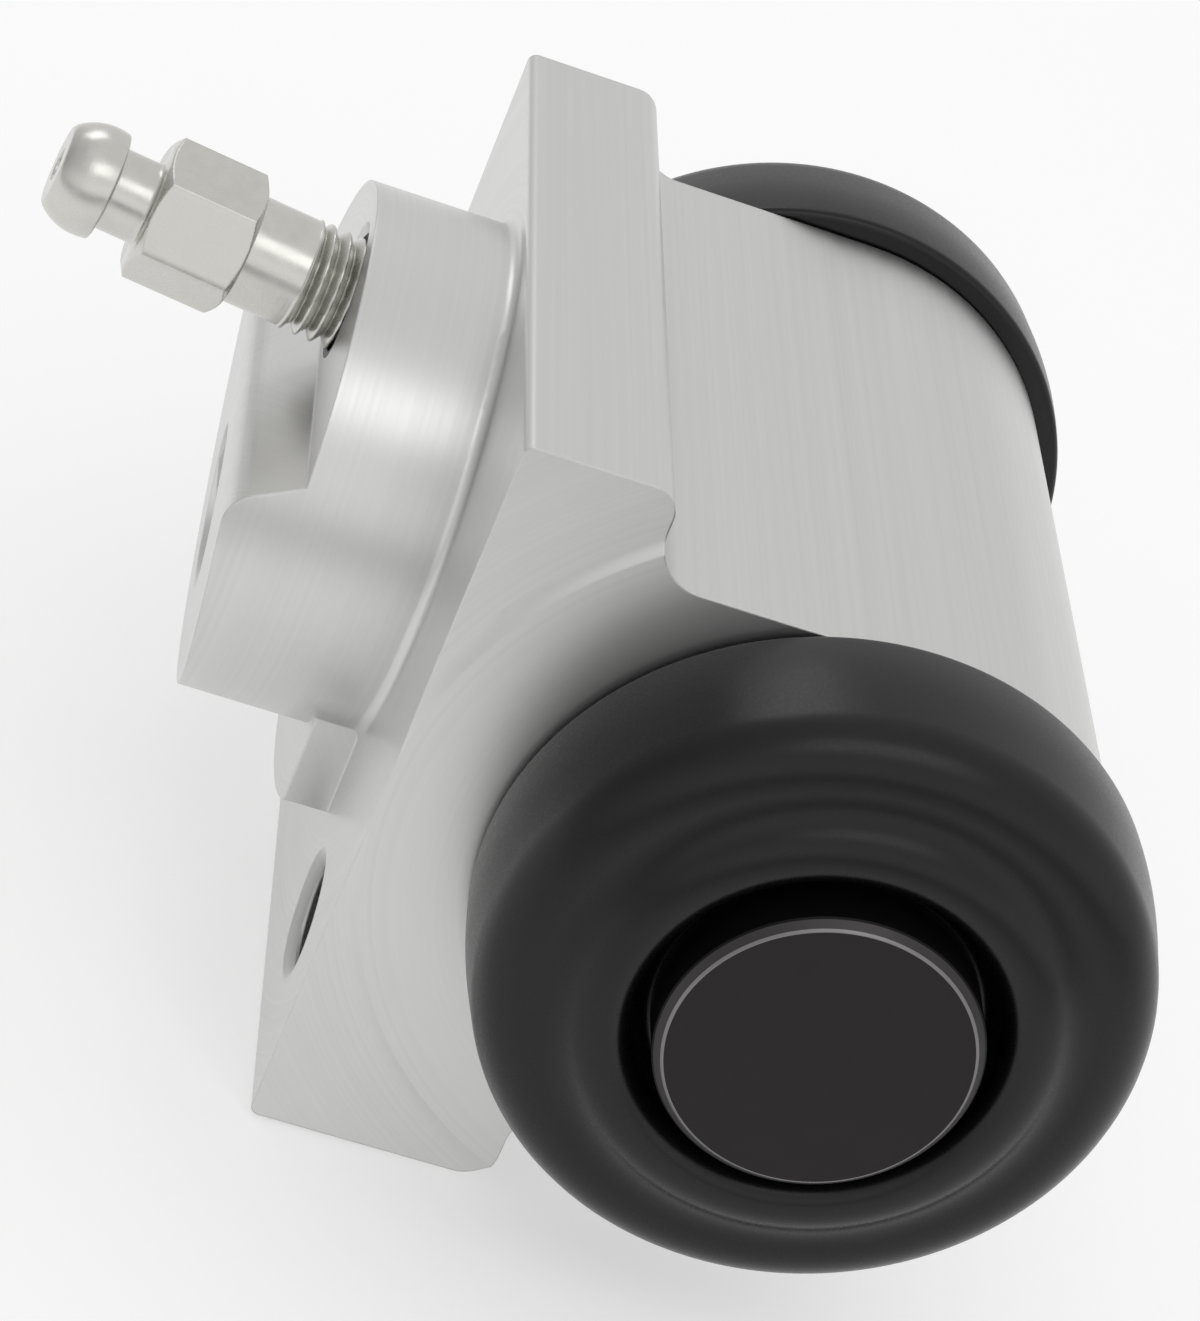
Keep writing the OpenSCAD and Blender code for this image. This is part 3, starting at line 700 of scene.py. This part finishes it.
seen = add(tree, "ShaderNodeMath", {"operation": "MAXIMUM"},
           {0: ray.outputs["Is Camera Ray"], 1: ray.outputs["Is Glossy Ray"]})
shown = add(tree, "ShaderNodeMath", {"operation": "MAXIMUM"},
            {0: seen.outputs[0], 1: ray.outputs["Is Transmission Ray"]})
lift = add(tree, "ShaderNodeMath", {"operation": "MULTIPLY", 1: FLOOR_LIFT}, {0: shown.outputs[0]})
glowing = add(tree, "ShaderNodeMath", {"operation": "MULTIPLY"}, {0: lift.outputs[0], 1: fall.outputs[0]})
matt = add(tree, "ShaderNodeBsdfDiffuse", links={"Color": shade.outputs[COLOUR_OUT]})
glow = add(tree, "ShaderNodeEmission", {"Color": linear("#ffffff")}, {"Strength": glowing.outputs[0]})
both = add(tree, "ShaderNodeAddShader", links={0: matt.outputs[0], 1: glow.outputs[0]})
tree.links.new(both.outputs[0], output.inputs["Surface"])
floor.data.materials.append(paper)

# Light: an even pale studio, a little brighter low down behind the camera and dimmer on the mounting side,
# with a wide soft box over the camera and a small one beyond the part.
ROOM = 0.78
CAMERA_SIDE = 0.22
INBOARD = -0.3
MIDDLE = Vector((0, -12, -6)) * MM
scene = bpy.context.scene
scene.view_settings.view_transform = "Standard"
world = bpy.data.worlds.new("pale_studio")
world.use_nodes = True
tree = world.node_tree
sky = add(tree, "ShaderNodeTexCoord")
way = add(tree, "ShaderNodeSeparateXYZ", links={0: sky.outputs["Generated"]})
behind = add(tree, "ShaderNodeMapRange", {"From Min": 0.0, "From Max": -0.6}, {"Value": way.outputs["X"]})
low = add(tree, "ShaderNodeMapRange", {"From Min": 0.6, "From Max": 0.3}, {"Value": way.outputs["Z"]})
pale = add(tree, "ShaderNodeMath", {"operation": "MULTIPLY"}, {0: behind.outputs[0], 1: low.outputs[0]})
even = add(tree, "ShaderNodeMath", {"operation": "MULTIPLY_ADD", 1: CAMERA_SIDE, 2: ROOM},
           {0: pale.outputs[0]})
inboard = add(tree, "ShaderNodeMapRange", {"From Min": 0.25, "From Max": 0.9}, {"Value": way.outputs["Y"]})
level = add(tree, "ShaderNodeMath", {"operation": "MULTIPLY_ADD", 1: INBOARD},
            {0: inboard.outputs[0], 2: even.outputs[0]})
tree.nodes["Background"].inputs["Color"].default_value = linear("#ffffff")
tree.links.new(level.outputs[0], tree.nodes["Background"].inputs["Strength"])
scene.world = world


def soft_box(name, direction, distance, size, watts):
    """A large soft lamp that faces the part, its distance and size in metres."""
    lamp = bpy.data.lights.new(name, "AREA")
    lamp.shape = "RECTANGLE"
    lamp.size, lamp.size_y = size
    lamp.energy = watts
    made = bpy.data.objects.new(name, lamp)
    made.location = MIDDLE + Vector(direction).normalized() * distance
    made.rotation_euler = Vector(direction).to_track_quat("Z", "Y").to_euler()
    scene.collection.objects.link(made)


soft_box("box_over_camera", direction=(-0.6, -0.04, 0.79), distance=0.55, size=(0.4, 0.21), watts=0.255)
soft_box("box_beyond", direction=(0.6, 0.3, 0.74), distance=0.5, size=(0.2, 0.16), watts=0.12)

# Camera: a long lens near the end of the bore, above and a little inboard, rolled as in the photograph.
# Its place in mm, its directions and its lens come from a fit of the part's corners to the photograph.
CAMERA_PLACE = (-231.39, 38.60, 127.36)
CAMERA_BACK = (-0.8456, 0.1943, 0.4971)
CAMERA_RIGHT = (-0.0094, -0.9367, 0.3500)
SENSOR = 36.0
LENS = 129.36
camera_data = bpy.data.cameras.new("camera")
camera_data.sensor_fit = "HORIZONTAL"
camera_data.sensor_width = SENSOR
camera_data.lens = LENS
camera_data.clip_start = 10 * MM
camera = bpy.data.objects.new("camera", camera_data)
back = Vector(CAMERA_BACK).normalized()
up = back.cross(Vector(CAMERA_RIGHT)).normalized()
turned = Matrix((up.cross(back), up, back)).transposed().to_4x4()
camera.matrix_world = Matrix.Translation(Vector(CAMERA_PLACE) * MM) @ turned
scene.collection.objects.link(camera)
scene.camera = camera
